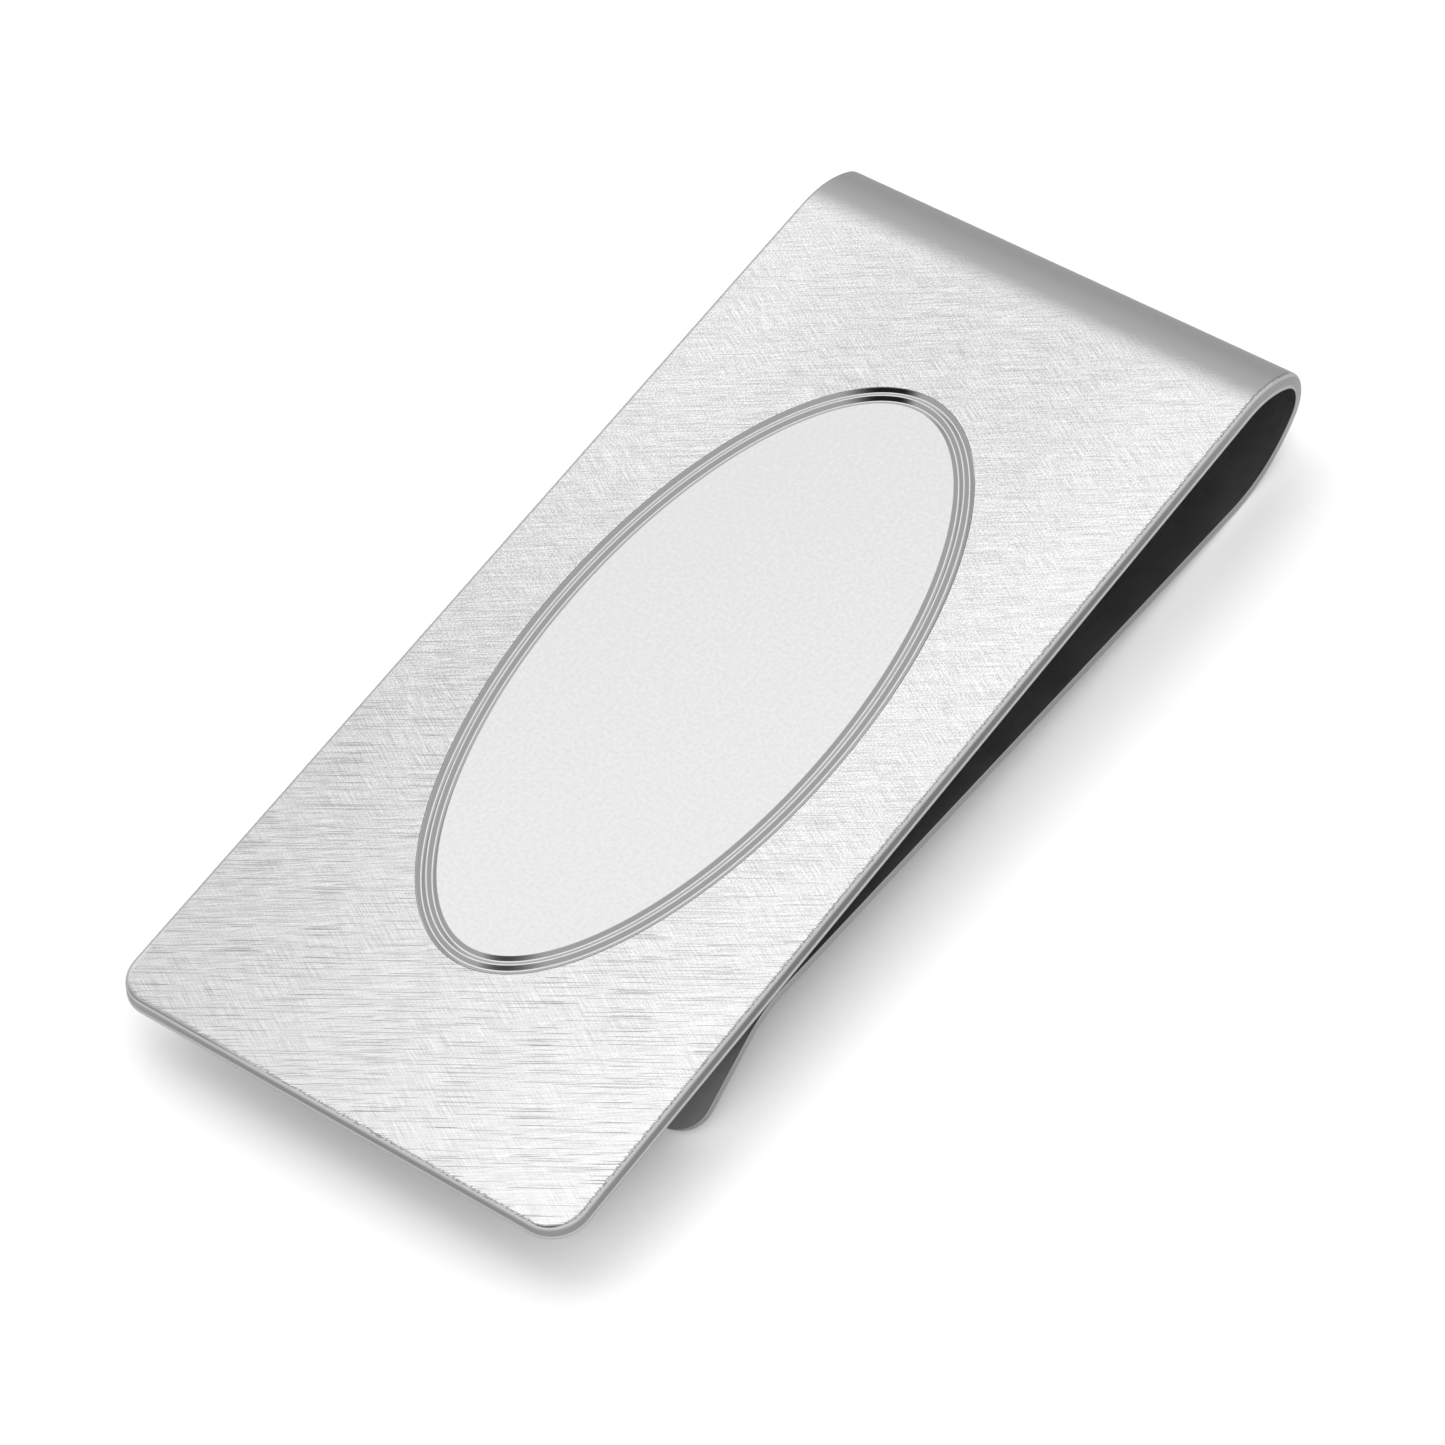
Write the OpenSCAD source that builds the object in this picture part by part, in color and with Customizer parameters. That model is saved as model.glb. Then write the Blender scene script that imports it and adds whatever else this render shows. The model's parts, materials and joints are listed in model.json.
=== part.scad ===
// Spring money clip: one strip of spring metal folded back on itself.
// The front face carries an oval engraving plate with a bright-cut border.
// The clip lies as it would on a table, on the belly of its fold and the tip of its lip.

/* [Strip] */
// Overall length, from the free end of the face to the nose of the fold
clip_l = 56.2; // [46:0.1:68]
// Width of the strip
clip_w = 25.4; // [20:0.1:34]
// Thickness of the strip
strip_t = 0.7; // [0.5:0.05:0.9]
// Radius of the two corners at the free end of the face
face_corner_r = 1.8; // [0.5:0.1:4]

/* [Fold] */
// Outer radius of the gentle bend that leaves the face
shoulder_r = 5.6; // [4:0.1:8]
// Angle of the gentle bend that leaves the face
shoulder_turn = 38; // [25:1:50]
// Outer radius of the tight bend at the nose
nose_r = 1.95; // [1.6:0.05:2.6]
// Angle of the tight bend at the nose
nose_turn = 103.5; // [90:0.5:115]
// Outer radius of the gentle bend that runs into the spring arm
belly_r = 7.3; // [5:0.1:10]

/* [Spring arm] */
// Distance from the free end of the face to the line where the arm pinches
pinch_setback = 15.2; // [10:0.1:22]
// Radius of the ridge that pinches, on the side that faces the plate
pinch_r = 5; // [2:0.5:8]
// Clearance between the ridge and the plate when the clip is closed
pinch_gap = 0.05; // [0.02:0.01:0.3]
// Length of the flat part of the flared lip
lip_l = 5.1; // [3.5:0.1:8]
// Angle at which the lip flares away from the plate
lip_angle = 25; // [10:1:40]
// Radius of the two corners at the tip of the lip
lip_corner_r = 1.6; // [0.5:0.1:3]

/* [Oval engraving plate] */
// Length of the oval, along the clip
oval_l = 36.3; // [24:0.1:44]
// Width of the oval
oval_w = 17; // [10:0.1:19]
// Thickness of the oval plate, which is also the depth of its seat
oval_t = 0.3; // [0.15:0.05:0.4]
// How far the oval sits towards the fold from the middle of the flat face
oval_shift = 1.2; // [0:0.1:2]
// How far the oval sits to the side of the middle of the strip
oval_offset = 0.25; // [-0.5:0.05:0.5]
// Angle by which the oval is turned on the face
oval_turn = 1; // [-2:0.5:2]
// Width of each of the two grooves of the border
groove_w = 0.5; // [0.3:0.05:0.8]
// Depth of each groove
groove_depth = 0.12; // [0.05:0.01:0.14]
// Clearance between the oval plate and the wall of its seat
seat_gap = 0.02; // [0.01:0.01:0.1]

/* [Hidden] */
$fn = 96;
oval_points = 96;
overcut = 1;

// The profile is worked out in [x, z]: x runs from the free end towards the fold,
// and z = 0 is the outer surface of the face.
function along(angle) = [cos(angle), sin(angle)];

// The fold is three tangent arcs. Each centre lies on the line through the last centre
// and the point where the two arcs meet.
nose_start = 90 - shoulder_turn;
nose_end = nose_start - nose_turn;
face_l = clip_l - nose_r - (shoulder_r - nose_r) * cos(nose_start);
shoulder_centre = [face_l, -shoulder_r];
nose_centre = shoulder_centre + (shoulder_r - nose_r) * along(nose_start);
belly_centre = nose_centre - (belly_r - nose_r) * along(nose_end);

// The arm is the straight line that leaves the belly and meets the pinching ridge.
pinch_centre = [pinch_setback, -strip_t - pinch_gap - pinch_r];
reach = belly_centre - pinch_centre;
arm_angle = asin((belly_r - strip_t + pinch_r) / norm(reach)) - atan2(reach[1], reach[0]);
arm_l = reach[0] * cos(arm_angle) - reach[1] * sin(arm_angle);
arm_start = pinch_centre + (pinch_r - strip_t) * along(90 - arm_angle);
lip_tip = pinch_centre + (pinch_r - strip_t) * along(90 + lip_angle) - lip_l * along(lip_angle);

// The resting tilt puts the belly of the fold and the tip of the lip on one plane.
rest_reach = belly_centre - lip_tip;
rest_tilt = asin(belly_r / norm(rest_reach)) - atan2(rest_reach[1], rest_reach[0]);
function tilted(point) = [
    point[0] * cos(rest_tilt) - point[1] * sin(rest_tilt),
    point[0] * sin(rest_tilt) + point[1] * cos(rest_tilt)
];
rest_shift = [-(tilted(nose_centre)[0] + nose_r) / 2, -tilted(lip_tip)[1]];

// Point i of the oval, moved inwards at right angles to its edge
function oval_point(i, inset) =
    let (
        angle = 360 * i / oval_points,
        half = [oval_l / 2, oval_w / 2],
        outward = [half[1] * cos(angle), half[0] * sin(angle)]
    )
    [half[0] * cos(angle), half[1] * sin(angle)] - inset * outward / norm(outward);

function oval_ring(inset) = [for (i = [0:oval_points - 1]) oval_point(i, inset)];

// Puts what is drawn in the frame of the face into the resting pose
module resting() {
    translate([rest_shift[0], 0, rest_shift[1]])
        rotate([0, -rest_tilt, 0])
            children();
}

// Puts what is drawn about the middle of the oval in its place on the face
module on_oval() {
    translate([face_l / 2 + oval_shift, oval_offset, 0])
        rotate(oval_turn)
            children();
}

// A length of strip along X, with its lower surface at z = 0 and its end at x = 0 rounded
module rounded_end_strip(length, corner_r) {
    linear_extrude(strip_t) {
        translate([corner_r, -clip_w / 2])
            square([length - corner_r, clip_w]);
        translate([0, corner_r - clip_w / 2])
            square([corner_r, clip_w - 2 * corner_r]);
        for (side = [-1, 1])
            translate([corner_r, side * (clip_w / 2 - corner_r)])
                circle(corner_r);
    }
}

// A bent length of strip, from one angle to another about a centre in the profile
module bend(centre, outer_r, from, to) {
    translate([centre[0], 0, centre[1]])
        rotate([90, 0, 0])
            rotate(from)
                rotate_extrude(angle = to - from)
                    translate([outer_r - strip_t, -clip_w / 2])
                        square([strip_t, clip_w]);
}

module front_plate() {
    color("silver")
        resting()
            difference() {
                translate([0, 0, -strip_t])
                    rounded_end_strip(face_l, face_corner_r);
                on_oval()
                    translate([0, 0, -oval_t])
                        linear_extrude(oval_t + overcut)
                            polygon(oval_ring(-seat_gap));
            }
}

// The rim of the oval plate: a closed ring whose top is two V grooves side by side
module border_ring() {
    profile = [
        [groove_w * 2, -oval_t],
        [0, -oval_t],
        [0, 0],
        [groove_w / 2, -groove_depth],
        [groove_w, 0],
        [groove_w * 3 / 2, -groove_depth],
        [groove_w * 2, 0]
    ];
    rings = len(profile);
    points = [for (corner = profile) for (p = oval_ring(corner[0])) [p[0], p[1], corner[1]]];
    faces = [
        for (ring = [0:rings - 1])
            for (i = [0:oval_points - 1])
                let (
                    next = (i + 1) % oval_points,
                    here = ring * oval_points,
                    there = (ring + 1) % rings * oval_points
                )
                each [
                    [here + i, there + i, there + next],
                    [here + i, there + next, here + next]
                ]
    ];
    polyhedron(points, faces);
}

module engraving_plate() {
    color("whitesmoke")
        resting()
            on_oval()
                union() {
                    border_ring();
                    translate([0, 0, -oval_t])
                        linear_extrude(oval_t)
                            polygon(oval_ring(groove_w * 2));
                }
}

module shoulder_bend() {
    color("lightgray")
        resting()
            bend(shoulder_centre, shoulder_r, nose_start, 90);
}

module nose_bend() {
    color("darkgray")
        resting()
            bend(nose_centre, nose_r, nose_end, nose_start);
}

module belly_bend() {
    color("lightgray")
        resting()
            bend(belly_centre, belly_r, -90 - arm_angle, nose_end);
}

module spring_arm() {
    color("gray")
        resting()
            translate([arm_start[0], -clip_w / 2, arm_start[1]])
                rotate([0, arm_angle, 0])
                    cube([arm_l, clip_w, strip_t]);
}

module grip_ridge() {
    color("darkgray")
        resting()
            bend(pinch_centre, pinch_r, 90 - arm_angle, 90 + lip_angle);
}

module flared_lip() {
    color("dimgray")
        resting()
            translate([lip_tip[0], 0, lip_tip[1]])
                rotate([0, -lip_angle, 0])
                    rounded_end_strip(lip_l, lip_corner_r);
}

front_plate();
engraving_plate();
shoulder_bend();
nose_bend();
belly_bend();
spring_arm();
grip_ridge();
flared_lip();
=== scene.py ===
import json
import math
from collections import namedtuple

import bpy
from mathutils import Matrix, Vector
from mathutils.geometry import tessellate_polygon


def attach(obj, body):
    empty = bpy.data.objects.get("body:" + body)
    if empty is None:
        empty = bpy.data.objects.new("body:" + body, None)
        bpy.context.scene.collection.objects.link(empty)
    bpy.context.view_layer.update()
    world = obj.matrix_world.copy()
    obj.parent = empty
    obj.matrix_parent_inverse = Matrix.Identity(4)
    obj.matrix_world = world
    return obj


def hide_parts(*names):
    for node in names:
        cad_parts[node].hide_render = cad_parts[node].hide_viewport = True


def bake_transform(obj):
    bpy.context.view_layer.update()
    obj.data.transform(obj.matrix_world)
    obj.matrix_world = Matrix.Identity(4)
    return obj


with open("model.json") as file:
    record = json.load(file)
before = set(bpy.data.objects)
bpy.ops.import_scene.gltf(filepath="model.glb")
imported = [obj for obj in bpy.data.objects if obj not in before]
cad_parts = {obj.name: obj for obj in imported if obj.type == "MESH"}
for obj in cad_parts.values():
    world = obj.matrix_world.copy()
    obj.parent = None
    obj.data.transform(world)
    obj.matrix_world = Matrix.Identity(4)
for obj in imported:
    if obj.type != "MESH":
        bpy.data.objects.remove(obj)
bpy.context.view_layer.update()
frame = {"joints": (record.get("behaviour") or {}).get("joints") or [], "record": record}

# The spring money clip is one strip of steel folded on itself, with an oval plate let into its face.
# Lengths are in millimetres, in the frame of the face: x from its free end towards the fold,
# z = 0 on its outer surface. PLACEMENT carries a finished mesh into the resting pose, in metres.

# Strip and fold, as in the CAD source
CLIP_L = 56.2
STRIP_W = 25.4
STRIP_T = 0.7
FACE_CORNER_R = 1.8
SHOULDER_R = 5.6
SHOULDER_TURN = 38
NOSE_R = 1.95
NOSE_TURN = 103.5
BELLY_R = 7.3

# Spring arm, as in the CAD source
PINCH_SETBACK = 15.2
PINCH_R = 5
PINCH_GAP = 0.05
LIP_L = 5.1
LIP_ANGLE = 25
LIP_CORNER_R = 1.6

# Oval plate, as in the CAD source
OVAL_L = 36.3
OVAL_W = 17
OVAL_T = 0.3
OVAL_SHIFT = 1.2
OVAL_OFFSET = 0.25
OVAL_TURN = 1
GROOVE_W = 0.5
GROOVE_DEPTH = 0.12

# Detail that only the looks need. The strip has rounded corners, and its lower corner stands out as a burr.
OUTER_EDGE_R = 0.23
INNER_EDGE_R = 0.03
BURR = 0.065
BURR_SPAN = 0.13
SEAT_GAP = 0.03
GROOVE_FLAT = 0.025

# How finely the meshes are divided, and how far from the edge the rim of a surface reaches
OVAL_POINTS = 240
ARC_STEP = 2.5
EDGE_MARGIN = 0.9
MM = 0.001


def along(angle):
    """The unit vector at that angle, in degrees, in the x and z of the profile."""
    return Vector((math.cos(math.radians(angle)), math.sin(math.radians(angle))))


# The fold is three tangent arcs, and the arm leaves the last one for the pinching ridge.
nose_start = 90 - SHOULDER_TURN
nose_end = nose_start - NOSE_TURN
face_l = CLIP_L - NOSE_R - (SHOULDER_R - NOSE_R) * along(nose_start).x
shoulder_centre = Vector((face_l, -SHOULDER_R))
nose_centre = shoulder_centre + (SHOULDER_R - NOSE_R) * along(nose_start)
belly_centre = nose_centre - (BELLY_R - NOSE_R) * along(nose_end)
pinch_centre = Vector((PINCH_SETBACK, -STRIP_T - PINCH_GAP - PINCH_R))
reach = belly_centre - pinch_centre
arm_angle = (
    math.degrees(math.asin((BELLY_R - STRIP_T + PINCH_R) / reach.length))
    - math.degrees(math.atan2(reach.y, reach.x))
)
arm_l = math.sqrt(reach.length_squared - (BELLY_R - STRIP_T + PINCH_R) ** 2)
ridge_top = pinch_centre + (PINCH_R - STRIP_T) * along(90 + LIP_ANGLE)
lip_tip = ridge_top - LIP_L * along(LIP_ANGLE)


def flat_length(outer_r, turn):
    """The length of a bend of the strip, flattened."""
    return (outer_r - STRIP_T / 2) * math.radians(turn)


# Where the lengths of the strip begin, once it is flattened
nose_from = face_l + flat_length(SHOULDER_R, SHOULDER_TURN)
belly_from = nose_from + flat_length(NOSE_R, NOSE_TURN)
arm_from = belly_from + flat_length(BELLY_R, 90 + arm_angle + nose_end)
ridge_from = arm_from + arm_l
lip_from = ridge_from + flat_length(PINCH_R, LIP_ANGLE + arm_angle)

hinge = Vector(frame["joints"][0]["pos_m"])


def face_placement():
    """The matrix from the frame of the face, in metres, to the resting pose in the row frame."""
    mounts = {m["name"]: m for m in frame["record"]["mounts"]}
    tilt = math.asin(-mounts["engraving_face"]["axis"][0])
    turn = Matrix.Rotation(-tilt, 4, "Y")
    centre = Vector((nose_centre.x, 0, nose_centre.y)) * MM
    return Matrix.Translation(hinge - turn @ centre) @ turn


PLACEMENT = face_placement()


# Meshes

# A point of the strip's profile: where its outer surface is, which way that surface looks,
# and how far along the flattened strip it lies
Station = namedtuple("Station", "point outward length")

# A point of the strip's edge: how far in from the edge, how deep, and the two parts of its normal
EdgePoint = namedtuple("EdgePoint", "inset depth out up")


class Shell:
    """A closed surface under construction."""

    def __init__(self):
        self.points = []
        self.on_strip = []
        self.from_edge = []
        self.faces = []
        self.normals = []

    def add_point(self, point, on_strip, from_edge):
        """Adds a point, its place on the flattened strip, and its distance from the edge of the strip."""
        self.points.append(Vector(point))
        self.on_strip.append(on_strip)
        self.from_edge.append(from_edge)
        return len(self.points) - 1

    def add_face(self, corners, normals):
        """Adds a face that is shaded with those normals at its corners."""
        ring = [self.points[c] for c in corners]
        area = sum((a.cross(b) for a, b in zip(ring, ring[1:] + ring[:1])), Vector((0, 0, 0)))
        if area.dot(sum(normals, Vector((0, 0, 0)))) < 0:
            corners = corners[::-1]
            normals = normals[::-1]
        self.faces.append(corners)
        self.normals.extend(normals)

    def add_flat(self, corners, normal):
        """Adds a flat face."""
        self.add_face(corners, [normal] * len(corners))

    def finish(self, name, material):
        """Makes the object, in the row frame."""
        mesh = bpy.data.meshes.new(name)
        mesh.from_pydata([PLACEMENT @ (p * MM) for p in self.points], [], self.faces)
        mesh.polygons.foreach_set("use_smooth", [True] * len(self.faces))
        turn = PLACEMENT.to_3x3()
        mesh.normals_split_custom_set([(turn @ n).normalized() for n in self.normals])
        place = mesh.attributes.new("on_strip", "FLOAT_VECTOR", "POINT")
        place.data.foreach_set("vector", [v for p in self.on_strip for v in p])
        edge = mesh.attributes.new("from_edge", "FLOAT", "POINT")
        edge.data.foreach_set("value", self.from_edge)
        mesh.materials.append(material)
        obj = bpy.data.objects.new(name, mesh)
        bpy.context.scene.collection.objects.link(obj)
        return obj


def edge_points():
    """Half of the strip's cross-section, from the outer surface round the edge to the inner one."""
    points = [EdgePoint(EDGE_MARGIN, 0, 0, 1)]
    # The rounded outer corner
    for step in range(0, 91, 10):
        out = along(90 - step)
        inset = BURR + OUTER_EDGE_R * (1 - out.x)
        points.append(EdgePoint(inset, OUTER_EDGE_R * (1 - out.y), out.x, out.y))
    # The side, which runs out to the burr in half a wave
    for step in range(0, 181, 30):
        wave = along(step)
        lean = math.atan(BURR * math.pi / 2 * wave.y / BURR_SPAN)
        inset = BURR * (1 + wave.x) / 2
        depth = STRIP_T - INNER_EDGE_R - BURR_SPAN * (1 - step / 180)
        points.append(EdgePoint(inset, depth, math.cos(lean), math.sin(lean)))
    # The small inner corner
    for step in range(15, 91, 15):
        out = along(-step)
        depth = STRIP_T - INNER_EDGE_R * (1 + out.y)
        points.append(EdgePoint(INNER_EDGE_R * (1 - out.x), depth, out.x, out.y))
    points.append(EdgePoint(EDGE_MARGIN, STRIP_T, 0, -1))
    return points


def flat_side(point, outward, y, depth):
    """The point at that distance across the strip and below its outer surface."""
    return Vector((point.x - depth * outward.x, y, point.y - depth * outward.y))


def swept_strip(stations):
    """A length of strip through those stations, closed at both ends."""
    shell = Shell()
    half = [(STRIP_W / 2 - e.inset, e.depth, e.out, e.up, e.inset) for e in edge_points()]
    section = half + [(-y, depth, -out, up, inset) for y, depth, out, up, inset in half[::-1]]
    rings = []
    normals = []
    for station in stations:
        rings.append([
            shell.add_point(
                flat_side(station.point, station.outward, y, depth),
                (station.length, y, -depth),
                inset,
            )
            for y, depth, out, up, inset in section
        ])
        normals.append([
            Vector((up * station.outward.x, out, up * station.outward.y))
            for y, depth, out, up, inset in section
        ])
    for ring, after, n, n_after in zip(rings, rings[1:], normals, normals[1:]):
        for i in range(len(section)):
            j = (i + 1) % len(section)
            shell.add_face([ring[i], ring[j], after[j], after[i]], [n[i], n[j], n_after[j], n_after[i]])
    for ring, end, inner in ((rings[0], stations[0], stations[1]), (rings[-1], stations[-1], stations[-2])):
        away = Vector((end.outward.y, -end.outward.x))
        if away.dot(end.point - inner.point) < 0:
            away = -away
        shell.add_flat(ring, Vector((away.x, 0, away.y)))
    return shell


def end_outline(length, corner_r):
    """The outline of a strip whose end at x = 0 has rounded corners: points, and the way out at each."""
    half_w = STRIP_W / 2
    outline = [(Vector((length, -half_w)), Vector((0, -1)))]
    for side in (-1, 1):
        for step in range(0, 91, 6):
            angle = 270 - step if side < 0 else 180 - step
            centre = Vector((corner_r, side * (half_w - corner_r)))
            outline.append((centre + corner_r * along(angle), along(angle)))
    outline.append((Vector((length, half_w)), Vector((0, 1))))
    return outline


def strip_end(start, towards, outward, length, corner_r, flattened, hole=()):
    """A flat length of strip whose free end has rounded corners.

    start is the middle of the free end, on the outer surface. towards is the way in from there.
    flattened(x) is the place on the flattened strip. hole is an outline through the outer surface.
    """
    shell = Shell()
    profile = edge_points()
    outline = end_outline(length, corner_r)
    lengthways = Vector((towards.x, 0, towards.y))
    sideways = Vector((0, 1, 0))
    up = Vector((outward.x, 0, outward.y))
    start = Vector((start.x, 0, start.y))

    def add(x, y, depth, inset):
        point = start + x * lengthways + y * sideways - depth * up
        return shell.add_point(point, (flattened(x), y, -depth), inset)

    rings = []
    normals = []
    for edge in profile:
        ring = []
        ring_normals = []
        for base, out in outline:
            spot = base - edge.inset * out
            ring.append(add(spot.x, spot.y, edge.depth, edge.inset))
            ring_normals.append(edge.out * (out.x * lengthways + out.y * sideways) + edge.up * up)
        rings.append(ring)
        normals.append(ring_normals)
    for ring, below, n, n_below in zip(rings, rings[1:], normals, normals[1:]):
        for i in range(len(outline) - 1):
            shell.add_face(
                [ring[i], ring[i + 1], below[i + 1], below[i]],
                [n[i], n[i + 1], n_below[i + 1], n_below[i]],
            )
    shell.add_flat([r[0] for r in rings] + [r[-1] for r in rings[::-1]], lengthways)
    shell.add_flat(rings[-1], -up)
    if hole:
        sink_seat(shell, rings[0], hole, add, up)
    else:
        shell.add_flat(rings[0], up)
    return shell


def sink_seat(shell, border, hole, add, up):
    """Closes the outer surface between its border and the hole, and sinks the seat of the oval plate."""
    top = [add(p.x, p.y, 0, EDGE_MARGIN) for p in hole]
    floor = [add(p.x, p.y, OVAL_T, EDGE_MARGIN) for p in hole]
    middle = sum((shell.points[c] for c in top), Vector((0, 0, 0))) / len(top)
    for i in range(len(hole)):
        j = (i + 1) % len(hole)
        inward = middle - (shell.points[top[i]] + shell.points[top[j]]) / 2
        shell.add_flat([top[i], top[j], floor[j], floor[i]], inward.normalized())
    shell.add_flat(floor, up)
    corners = border + top
    loops = [[shell.points[c] for c in border], [shell.points[c] for c in top]]
    for triangle in tessellate_polygon(loops):
        shell.add_flat([corners[i] for i in triangle], up)


def arc(centre, outer_r, start, end, length, inside_out=False):
    """Stations along an arc of the strip, which begins at that length of the flattened strip.

    outer_r is the larger radius. On an inside-out arc, the outer surface has the smaller radius.
    """
    steps = math.ceil(abs(end - start) / ARC_STEP)
    surface_r = outer_r - STRIP_T if inside_out else outer_r
    stations = []
    for i in range(steps + 1):
        turned = (end - start) * i / steps
        spoke = along(start + turned)
        outward = -spoke if inside_out else spoke
        here = length + flat_length(outer_r, abs(turned))
        stations.append(Station(centre + surface_r * spoke, outward, here))
    return stations


def oval_outline(inset):
    """The oval about its own middle, moved inwards at right angles to its edge, and the way out."""
    half_l = OVAL_L / 2
    half_w = OVAL_W / 2
    outline = []
    for i in range(OVAL_POINTS):
        spoke = along(360 * i / OVAL_POINTS)
        out = Vector((half_w * spoke.x, half_l * spoke.y)).normalized()
        outline.append((Vector((half_l * spoke.x, half_w * spoke.y)) - inset * out, out))
    return outline


def on_face(point):
    """A point about the middle of the oval, in its place on the face."""
    turn = along(OVAL_TURN)
    return Vector((
        face_l / 2 + OVAL_SHIFT + point.x * turn.x - point.y * turn.y,
        OVAL_OFFSET + point.x * turn.y + point.y * turn.x,
    ))


def oval_plate():
    """The oval plate: a flat inside two V grooves, side by side."""
    shell = Shell()
    steps = [(SEAT_GAP, OVAL_T), (SEAT_GAP, 0)]
    for middle in (GROOVE_W / 2, GROOVE_W * 3 / 2):
        steps += [
            (middle - GROOVE_W / 2 + GROOVE_FLAT, 0),
            (middle - GROOVE_FLAT, GROOVE_DEPTH),
            (middle + GROOVE_FLAT, GROOVE_DEPTH),
            (middle + GROOVE_W / 2 - GROOVE_FLAT, 0),
        ]
    steps.append((GROOVE_W * 2, 0))
    up = Vector((0, 0, 1))
    turn = Matrix.Rotation(math.radians(OVAL_TURN), 3, "Z")
    outs = [turn @ out.to_3d() for _, out in oval_outline(0)]
    rings = []
    for inset, depth in steps:
        ring = []
        for point, _ in oval_outline(inset):
            spot = on_face(point)
            ring.append(shell.add_point((spot.x, spot.y, -depth), (spot.x, spot.y, -depth), inset))
        rings.append(ring)
    for k in range(len(steps) - 1):
        run = steps[k + 1][0] - steps[k][0]
        fall = steps[k + 1][1] - steps[k][1]
        normals = [(-fall * out + run * up).normalized() for out in outs]
        for i in range(OVAL_POINTS):
            j = (i + 1) % OVAL_POINTS
            shell.add_face(
                [rings[k][i], rings[k][j], rings[k + 1][j], rings[k + 1][i]],
                [normals[i], normals[j], normals[j], normals[i]],
            )
    shell.add_flat(rings[-1], up)
    shell.add_flat(rings[0], -up)
    return shell


# Materials


class Graph:
    """Adds nodes to a tree. An input is a number, a colour, or another node's output."""

    def __init__(self, tree):
        self.tree = tree
        self.tree.nodes.clear()

    def add(self, kind, inputs, **settings):
        """Adds one node and returns it."""
        node = self.tree.nodes.new(kind)
        for name, value in settings.items():
            setattr(node, name, value)
        for socket, value in inputs.items():
            if isinstance(value, bpy.types.NodeSocket):
                self.tree.links.new(value, node.inputs[socket])
            else:
                node.inputs[socket].default_value = value
        return node

    def parts(self, vector):
        """The three parts of the vector."""
        return self.add("ShaderNodeSeparateXYZ", {0: vector}).outputs

    def math(self, operation, a, b, c=0.0):
        """The result of that operation on the numbers."""
        return self.add("ShaderNodeMath", {0: a, 1: b, 2: c}, operation=operation).outputs[0]

    def ramp(self, value, low, high, at_low=0.0, at_high=1.0):
        """value carried smoothly from low and high to at_low and at_high, and held beyond them."""
        inputs = {"Value": value, "From Min": low, "From Max": high, "To Min": at_low, "To Max": at_high}
        return self.add("ShaderNodeMapRange", inputs, interpolation_type="SMOOTHSTEP").outputs[0]

    def band(self, value, low, high, soft):
        """1 where value is between low and high, falling to 0 over a distance of soft beyond them."""
        return self.math("MULTIPLY", self.ramp(value, low - soft, low), self.ramp(value, high + soft, high))

    def mix(self, factor, a, b):
        """A number between a and b."""
        return self.add("ShaderNodeMix", {0: factor, 2: a, 3: b}, data_type="FLOAT").outputs[0]

    def blend(self, factor, a, b):
        """A colour between a and b."""
        return self.add("ShaderNodeMix", {0: factor, 6: a, 7: b}, data_type="RGBA").outputs[2]

    def noise(self, vector, detail=2.0, roughness=0.5, offset=0.0):
        """Smooth noise from 0 to 1, one cell to each unit of the vector."""
        moved = self.add("ShaderNodeVectorMath", {0: vector, 1: (offset, offset, offset)}).outputs[0]
        inputs = {"Vector": moved, "Scale": 1.0, "Detail": detail, "Roughness": roughness}
        return self.add("ShaderNodeTexNoise", inputs).outputs[0]

    def scaled(self, vector, scale):
        """The vector, times the scale on each axis."""
        return self.add("ShaderNodeVectorMath", {0: vector, 1: scale}, operation="MULTIPLY").outputs[0]

    def spots(self, place, per_mm, detail=2.0, offset=0.0):
        """Noise in round spots on the strip, about that many to the millimetre."""
        return self.noise(self.scaled(place, (per_mm, per_mm, per_mm)), detail, offset=offset)

    def streaks(self, place, angle, length, width, detail=2.0, offset=0.0):
        """Noise drawn out along one direction on the strip, in streaks of that length and width."""
        inputs = {"Vector": place, "Angle": math.radians(-angle)}
        turned = self.add("ShaderNodeVectorRotate", inputs, rotation_type="Z_AXIS").outputs[0]
        return self.noise(self.scaled(turned, (1 / length, 1 / width, 1 / width)), detail, 0.6, offset)


# Colours of the steel, of its brushing and of the plate
STEEL = (0.66, 0.66, 0.67, 1)
STEEL_LIGHT = (0.74, 0.74, 0.75, 1)
STEEL_EDGE = (0.54, 0.54, 0.55, 1)
# Painted highlight, near white and brighter than steel: the lines on the worn edges, and the arm's sheared
# sides
STEEL_PAINTED_HIGHLIGHT = (0.98, 0.98, 0.99, 1)
BRUSHED_DEEP = (0.34, 0.34, 0.35, 1)
BRUSHED_DARK = (0.50, 0.50, 0.51, 1)
BRUSHED_LIGHT = (1.0, 1.0, 1.0, 1)
# Painted shade for the walls of the grooves in the oval plate
CHROME_PAINTED_SHADE = (0.58, 0.58, 0.59, 1)
CHROME = (0.66, 0.66, 0.67, 1)
CHROME_LIGHT = (0.72, 0.72, 0.73, 1)

# The two directions of the brushing, in degrees from the length of the strip
BRUSH_MAIN = 122
BRUSH_CROSS = 62

# The length and the width of each kind of mark
MAIN_MARK = (3.6, 0.075)
FINE_MARK = (1.2, 0.05)
CROSS_MARK = (1.6, 0.05)
SCRATCH = (3.6, 0.04)
HAIR = (5.0, 0.05)

# Within this length of the free end, the brushing gets softer and its scratches get deeper.
SOFT_L = 30.0

# How high the marks of each finish stand
BRUSHED_RELIEF = 0.005
POLISHED_RELIEF = 0.0012
MIRROR_RELIEF = 0.0004


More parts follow.
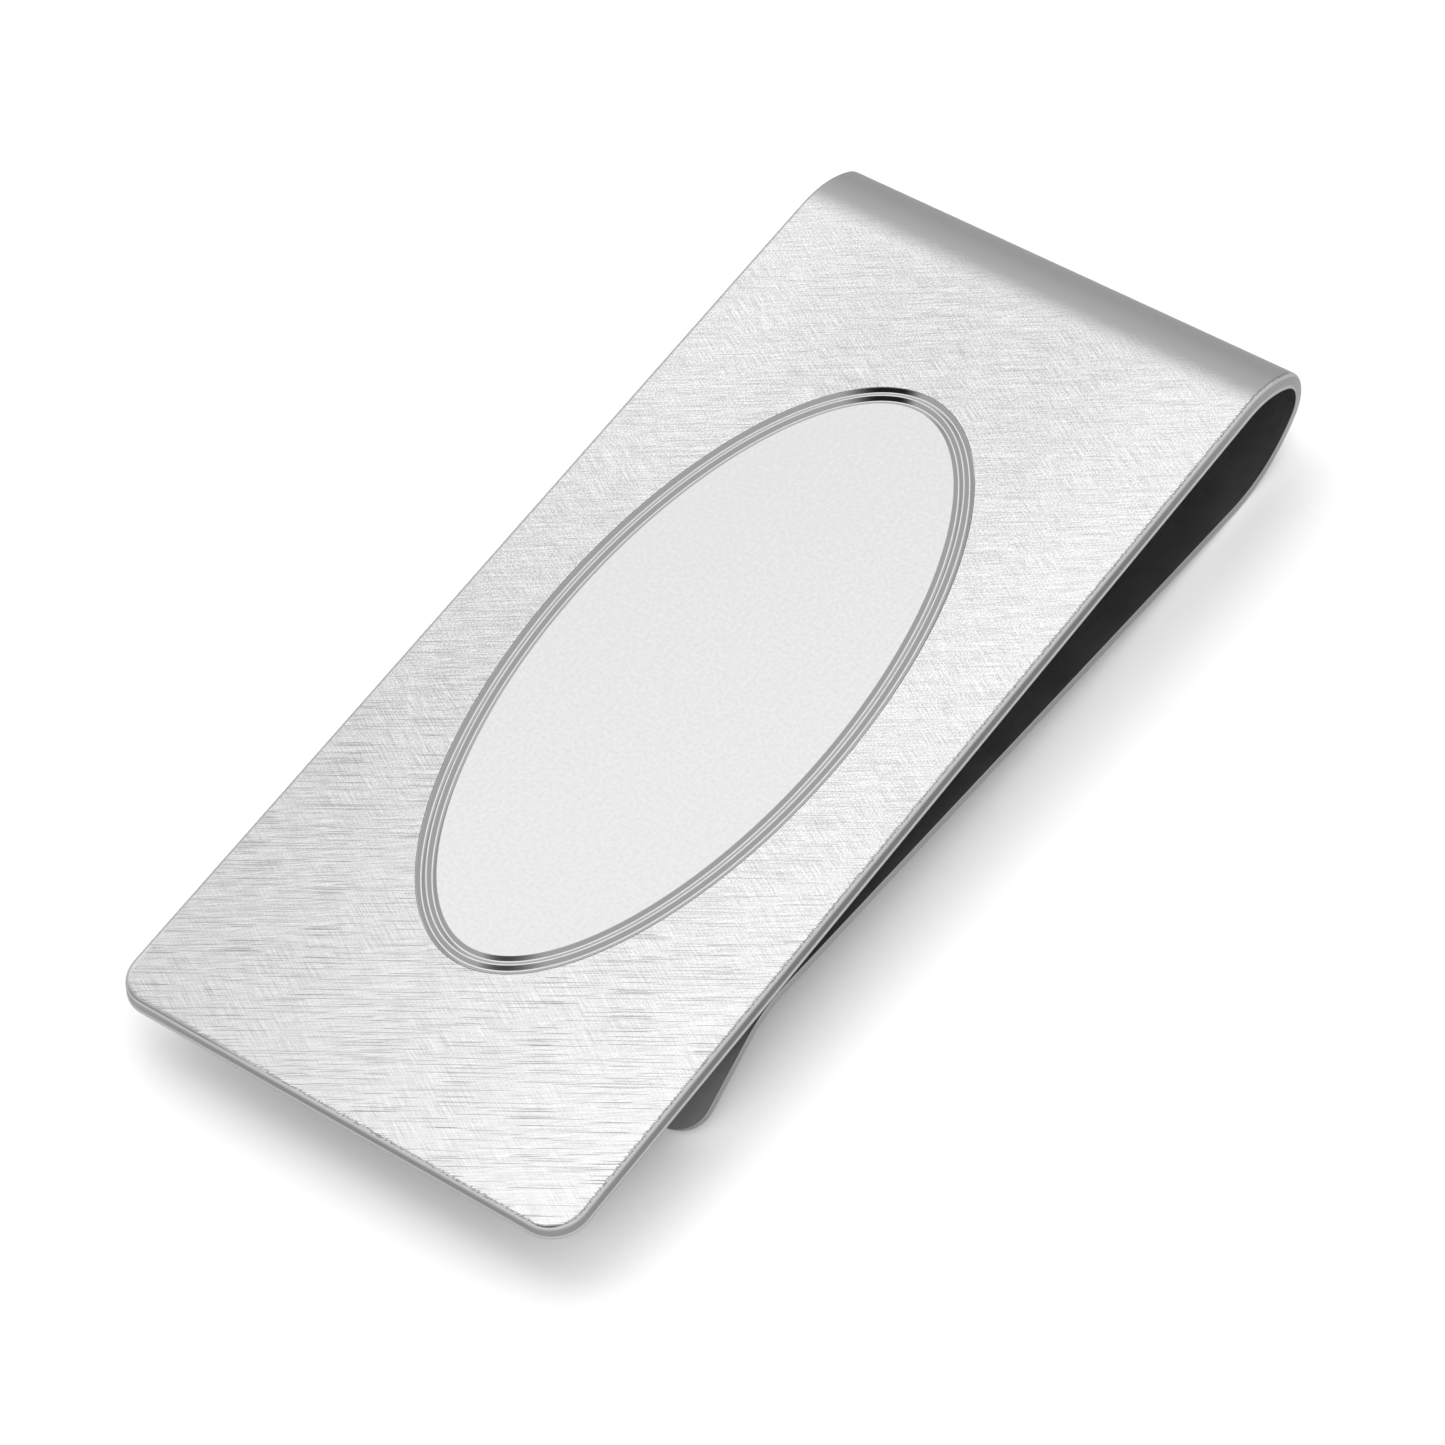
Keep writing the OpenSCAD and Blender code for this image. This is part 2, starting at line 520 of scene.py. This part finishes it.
def start_material(name):
    """An empty metal material: its graph, and each point's place on the flattened strip.

    The place is its length along the strip, its side across it and its level, which is 0 on the
    outer surface and falls inwards.
    """
    material = bpy.data.materials.new(name)
    material.use_nodes = True
    graph = Graph(material.node_tree)
    place = graph.add("ShaderNodeAttribute", {}, attribute_name="on_strip").outputs["Vector"]
    return material, graph, place


def finish_metal(graph, colour, roughness, height, relief):
    """Ends a metal material: relief is how high a height of 1 stands."""
    bump = graph.add("ShaderNodeBump", {"Height": height, "Distance": relief * MM}).outputs[0]
    inputs = {"Base Color": colour, "Metallic": 1.0, "Roughness": roughness, "Normal": bump}
    shader = graph.add("ShaderNodeBsdfPrincipled", inputs).outputs[0]
    graph.add("ShaderNodeOutputMaterial", {"Surface": shader})


def with_edges(graph, colour, level, sheared):
    """That colour, with the sheared side of the strip, and its worn corners above and below it painted near
    white as a highlight line.
    """
    colour = graph.blend(graph.band(level, -0.6, -0.2, 0.1), colour, sheared)
    # Painted highlight: near white lines along the top of the rounded corner and along the burr below the
    # side.
    crest = graph.band(level, -0.12, -0.03, 0.03)
    burr = graph.band(level, -0.66, -0.57, 0.035)
    return graph.blend(graph.math("MAXIMUM", crest, burr), colour, STEEL_PAINTED_HIGHLIGHT)


def brush_marks(graph, place, length):
    """The height of the brushing, in two crossing directions, and how ragged it is where it ends."""
    main = graph.streaks(place, BRUSH_MAIN, *MAIN_MARK)
    fine = graph.streaks(place, BRUSH_MAIN + 5, *FINE_MARK, offset=31.0)
    cross = graph.streaks(place, BRUSH_CROSS, *CROSS_MARK, offset=57.0)
    grain = graph.spots(place, 13.0, offset=3.0)
    patches = graph.noise(graph.scaled(place, (0.12, 0.16, 0.12)), 1.0)
    crossed = graph.ramp(patches, 0.4, 0.6, 0.2, 0.5)
    marks = graph.mix(crossed, graph.mix(0.55, main, fine), cross)
    marks = graph.mix(graph.ramp(length, 0.0, SOFT_L, 0.2, 0.4), marks, grain)
    marks = graph.mix(graph.ramp(length, 0.0, SOFT_L, 0.45, 0.0), marks, 0.5)
    ragged = graph.math("SUBTRACT", graph.mix(0.5, main, fine), 0.5)
    return marks, ragged


def deep_scratches(graph, place, length):
    """Deeper scratches, most of them near the free end, where the brush pressed harder."""
    scratch = graph.streaks(place, BRUSH_MAIN - 2, *SCRATCH, detail=0.0, offset=11.0)
    pressed = graph.ramp(length, SOFT_L, 4.0, 0.3, 1.0)
    return graph.math("MULTIPLY", graph.ramp(scratch, 0.69, 0.74), pressed)


def brush_limit(graph, ragged, length, side):
    """Where the brushing lies inside the bare rim, and the dark line in which it ends.

    The rim is wider at one corner of the free end, and the line is a smear there. The far side has no line.
    """
    from_edge = graph.add("ShaderNodeAttribute", {}, attribute_name="from_edge").outputs["Fac"]
    corner = graph.math("MULTIPLY", graph.ramp(side, 2.0, 8.0), graph.ramp(length, 6.0, 2.0))
    from_edge = graph.math("MULTIPLY", from_edge, graph.mix(corner, 1.0, 0.7))
    within = graph.ramp(graph.math("MULTIPLY_ADD", ragged, 0.6, from_edge), 0.19, 0.31)
    smear = graph.math("SUBTRACT", 1.0, within)
    line = graph.math("MULTIPLY", graph.math("MULTIPLY", smear, within), 4.0)
    line = graph.math("MULTIPLY", graph.mix(corner, line, smear), graph.ramp(side, 12.4, 11.5))
    return within, line


def brushed_tone_and_light(graph, marks, length, side):
    """How light the brushing is, with painted light and shade: lighter towards one side of the strip, and
    near the fold towards both.

    These slow changes are fitted by brightness. They stand for light as much as for metal.
    """
    # Painted light and shade: darker towards the +y side, more so towards the free end.
    painted_light_slant = graph.math("MULTIPLY", side, graph.ramp(length, 54.0, -4.0, 0.003, 0.02))
    # Painted light: lighter towards both sides near the fold.
    painted_light_flank = graph.ramp(graph.math("ABSOLUTE", side, 0.0), 3.0, 11.5)
    painted_light_flank = graph.math("MULTIPLY", painted_light_flank, graph.ramp(length, 22.0, 42.0, 0.0, 0.13))
    tone_with_painted_light = graph.math("SUBTRACT", graph.ramp(marks, 0.36, 0.64), painted_light_slant)
    return graph.math("ADD", tone_with_painted_light, painted_light_flank)


def brushed_steel(name):
    """Steel brushed in two crossing directions, up to a bare rim and the start of the fold."""
    material, graph, place = start_material(name)
    length, side, level = graph.parts(place)
    marks, ragged = brush_marks(graph, place, length)
    scratches = deep_scratches(graph, place, length)
    within, line = brush_limit(graph, ragged, length, side)
    fold = graph.ramp(graph.math("MULTIPLY_ADD", ragged, 4.0, length), face_l + 1.6, face_l - 0.3)
    brushed = graph.math("MULTIPLY", graph.math("MULTIPLY", within, fold), graph.ramp(level, -0.12, -0.05))

    tone_with_painted_light = brushed_tone_and_light(graph, marks, length, side)
    colour = graph.blend(tone_with_painted_light, BRUSHED_DARK, BRUSHED_LIGHT)
    colour = graph.blend(graph.math("MULTIPLY", scratches, 0.8), colour, BRUSHED_DEEP)
    # Painted light: the bare sides are lighter at both ends of the face than between them.
    ends = graph.math("MAXIMUM", graph.ramp(length, 12.0, 2.0), graph.ramp(length, 38.0, face_l + 2.0))
    bare = with_edges(graph, STEEL, level, graph.blend(ends, STEEL_EDGE, STEEL_LIGHT))
    colour = graph.blend(brushed, bare, colour)
    line = graph.math("MULTIPLY", line, graph.ramp(level, -0.06, -0.02))
    colour = graph.blend(line, colour, BRUSHED_DEEP)

    worn = graph.spots(place, 0.7, 3.0)
    polish = graph.mix(graph.ramp(level, -0.62, -0.7), graph.mix(worn, 0.16, 0.26), 0.32)
    roughness = graph.mix(brushed, polish, graph.mix(tone_with_painted_light, 0.37, 0.30))
    height = graph.math("MULTIPLY", graph.math("SUBTRACT", marks, scratches), brushed)
    finish_metal(graph, colour, roughness, height, BRUSHED_RELIEF)
    return material


def polished_steel(name):
    """Polished steel with fine scratches along the strip, duller on its inner side and most at the lip."""
    material, graph, place = start_material(name)
    length, _, level = graph.parts(place)
    hairs = graph.streaks(place, 3, *HAIR, offset=23.0)
    worn = graph.spots(place, 0.5, 3.0, 5.0)
    colour = graph.blend(graph.ramp(hairs, 0.3, 0.7), STEEL, STEEL_LIGHT)
    # Painted light: the sheared sides get lighter round the nose, to near white along the arm.
    sheared = graph.blend(graph.ramp(length, nose_from, belly_from), STEEL_LIGHT, STEEL_PAINTED_HIGHLIGHT)
    colour = with_edges(graph, colour, level, sheared)
    duller = graph.ramp(length, ridge_from, lip_from + LIP_L, 0.12, 0.4)
    duller = graph.math("MULTIPLY", duller, graph.ramp(level, -0.6, -0.7))
    roughness = graph.math("ADD", duller, graph.mix(worn, 0.12, 0.26))
    finish_metal(graph, colour, roughness, hairs, POLISHED_RELIEF)
    return material


def mirror_chrome(name):
    """A mirror polish with a trace of haze and of buffing. Its grooves are shinier, with walls painted
    darker as shade.

    It is painted a little lighter towards the free end, as painted light, which is fitted too.
    """
    material, graph, place = start_material(name)
    length, side, level = graph.parts(place)
    haze = graph.spots(place, 0.35, 3.0, 9.0)
    buffing = graph.spots(place, 4.0)
    speckle = graph.spots(place, 5.0, 1.0, 7.0)
    flat = graph.ramp(level, -0.02, 0.0)
    roughness = graph.math("MULTIPLY", graph.mix(haze, 0.05, 0.10), graph.mix(flat, 0.3, 1.0))
    # Painted light: the plate is lighter towards the free end.
    painted_light_slope = graph.ramp(graph.math("MULTIPLY_ADD", side, 1.5, length), 8.0, 52.0, 0.75, 0.1)
    tone_with_painted_light = graph.math("MULTIPLY_ADD", graph.math("SUBTRACT", speckle, 0.5), 2.4, painted_light_slope)
    colour = graph.blend(tone_with_painted_light, CHROME, CHROME_LIGHT)
    # Painted shade: the walls of the grooves are darker.
    colour = graph.blend(graph.band(level, -0.1, -0.025, 0.015), colour, CHROME_PAINTED_SHADE)
    finish_metal(graph, colour, roughness, buffing, MIRROR_RELIEF)
    return material


# Stage


# The camera stands above the free end of the face and to its side.
CAMERA_AT = Vector((-130.82, -131.35, 227.11)) * MM
CAMERA_TOWARDS = Vector((0.4461, 0.4491, -0.7741))
CAMERA_RIGHT = Vector((0.5951, -0.7949, -0.1182))
SENSOR_W = 36
LENS = 161.3
NEAREST = 0.01

# The floor is a pale grey to the part, and the camera alone sees it overexposed, as a white ground.
FLOOR_LIT = (0.7, 0.7, 0.7, 1)
FLOOR_SEEN = (1.88, 1.88, 1.88, 1)
FLOOR_REACH = 3.0

# The tent is dimmer towards the floor. It has a bright panel opposite the camera and a dark gap overhead.
# Each of these two fades out between two angles from its middle.
WALL_LOW = 0.46
WALL_HIGH = 0.6
PANEL_LIGHT = 1.19
PANEL = Vector((0.182, 0.42, 0.889)).normalized()
PANEL_FADE = (38, 12)
GAP_LIGHT = 0.04
GAP = Vector((-0.341, 0.08, 0.936)).normalized()
GAP_FADE = (22, 11)


def add_camera():
    """The camera, at the place and angle given above."""
    data = bpy.data.cameras.new("camera")
    data.sensor_width = SENSOR_W
    data.lens = LENS
    data.clip_start = NEAREST
    camera = bpy.data.objects.new("camera", data)
    bpy.context.scene.collection.objects.link(camera)
    back = -CAMERA_TOWARDS.normalized()
    right = CAMERA_RIGHT.normalized()
    turn = Matrix((right, back.cross(right), back)).transposed().to_4x4()
    camera.matrix_world = Matrix.Translation(CAMERA_AT) @ turn
    bpy.context.scene.camera = camera


def add_floor():
    """A large plain floor."""
    mesh = bpy.data.meshes.new("floor")
    corners = [(-1, -1), (1, -1), (1, 1), (-1, 1)]
    mesh.from_pydata([(FLOOR_REACH * x, FLOOR_REACH * y, 0) for x, y in corners], [], [(0, 1, 2, 3)])
    material = bpy.data.materials.new("floor")
    material.use_nodes = True
    graph = Graph(material.node_tree)
    seen = graph.add("ShaderNodeLightPath", {}).outputs["Is Camera Ray"]
    colour = graph.blend(seen, FLOOR_LIT, FLOOR_SEEN)
    shader = graph.add("ShaderNodeBsdfDiffuse", {"Color": colour}).outputs[0]
    graph.add("ShaderNodeOutputMaterial", {"Surface": shader})
    mesh.materials.append(material)
    floor = bpy.data.objects.new("floor", mesh)
    bpy.context.scene.collection.objects.link(floor)


def add_tent():
    """The soft light of a white tent."""
    world = bpy.data.worlds.new("tent")
    bpy.context.scene.world = world
    world.use_nodes = True
    graph = Graph(world.node_tree)
    direction = graph.add("ShaderNodeTexCoord", {}).outputs["Generated"]

    def near(way, fade, outside, inside):
        """The value inside a round patch of the tent about that direction, and the value outside it."""
        inputs = {0: direction, 1: way}
        facing = graph.add("ShaderNodeVectorMath", inputs, operation="DOT_PRODUCT").outputs[1]
        low, high = (math.cos(math.radians(angle)) for angle in fade)
        return graph.ramp(facing, low, high, outside, inside)

    wall = graph.ramp(graph.parts(direction)[2], 0.0, 0.5, WALL_LOW, WALL_HIGH)
    light = graph.mix(near(PANEL, PANEL_FADE, 0.0, 1.0), wall, PANEL_LIGHT)
    light = graph.math("MULTIPLY", light, near(GAP, GAP_FADE, 1.0, GAP_LIGHT))
    background = graph.add("ShaderNodeBackground", {"Color": (1, 1, 1, 1), "Strength": light}).outputs[0]
    graph.add("ShaderNodeOutputWorld", {"Surface": background})


# Pieces


def add_piece(shell, name, material, body, node):
    """Makes a piece that stands for one CAD node. body is None for a piece attached to neither body."""
    piece = shell.finish(name, material)
    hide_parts(node)
    if body:
        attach(piece, body)
    return piece


def add_face(brushed, mirror):
    """The flat face with the seat of the oval, and the oval plate in it."""
    seat = [on_face(point) for point, _ in oval_outline(0)]
    start = Vector((0, 0))
    towards = Vector((1, 0))
    outward = Vector((0, 1))
    face = strip_end(start, towards, outward, face_l, FACE_CORNER_R, lambda x: x, seat)
    add_piece(face, "face_sheet", brushed, "face", "front_plate")
    add_piece(oval_plate(), "oval_sheet", mirror, "face", "engraving_plate")


def add_fold(brushed, polished):
    """The three bends of the fold. The middle one, the nose, is attached to neither body; on the real clip
    it bends as the clip opens.
    """
    shoulder = swept_strip(arc(shoulder_centre, SHOULDER_R, 90, nose_start, face_l))
    add_piece(shoulder, "shoulder_sheet", brushed, "face", "shoulder_bend")

    nose = swept_strip(arc(nose_centre, NOSE_R, nose_start, nose_end, nose_from))
    nose = add_piece(nose, "nose_sheet", polished, None, "nose_bend")
    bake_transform(nose)

    belly = swept_strip(arc(belly_centre, BELLY_R, nose_end, -90 - arm_angle, belly_from))
    add_piece(belly, "belly_sheet", polished, "arm", "belly_bend")


def add_arm(polished):
    """The straight spring arm, the ridge that pinches the notes, and the lip that lets them in."""
    down = along(-90 - arm_angle)
    start = belly_centre + BELLY_R * down
    end = pinch_centre - (PINCH_R - STRIP_T) * down
    arm = swept_strip([Station(start, down, arm_from), Station(end, down, ridge_from)])
    add_piece(arm, "arm_sheet", polished, "arm", "spring_arm")

    ridge = swept_strip(arc(pinch_centre, PINCH_R, 90 - arm_angle, 90 + LIP_ANGLE, ridge_from, True))
    add_piece(ridge, "ridge_sheet", polished, "arm", "grip_ridge")

    towards = along(LIP_ANGLE)
    outward = along(LIP_ANGLE - 90)
    lip = strip_end(lip_tip, towards, outward, LIP_L, LIP_CORNER_R, lambda x: lip_from + LIP_L - x)
    add_piece(lip, "lip_sheet", polished, "arm", "flared_lip")


def add_pieces():
    """The strip, from the free end of the face round the fold to the lip, and the oval plate."""
    brushed = brushed_steel("brushed_steel")
    polished = polished_steel("polished_steel")
    mirror = mirror_chrome("mirror_chrome")
    add_face(brushed, mirror)
    add_fold(brushed, polished)
    add_arm(polished)


add_pieces()
add_floor()
add_tent()
add_camera()
bpy.context.scene.view_settings.view_transform = "Standard"
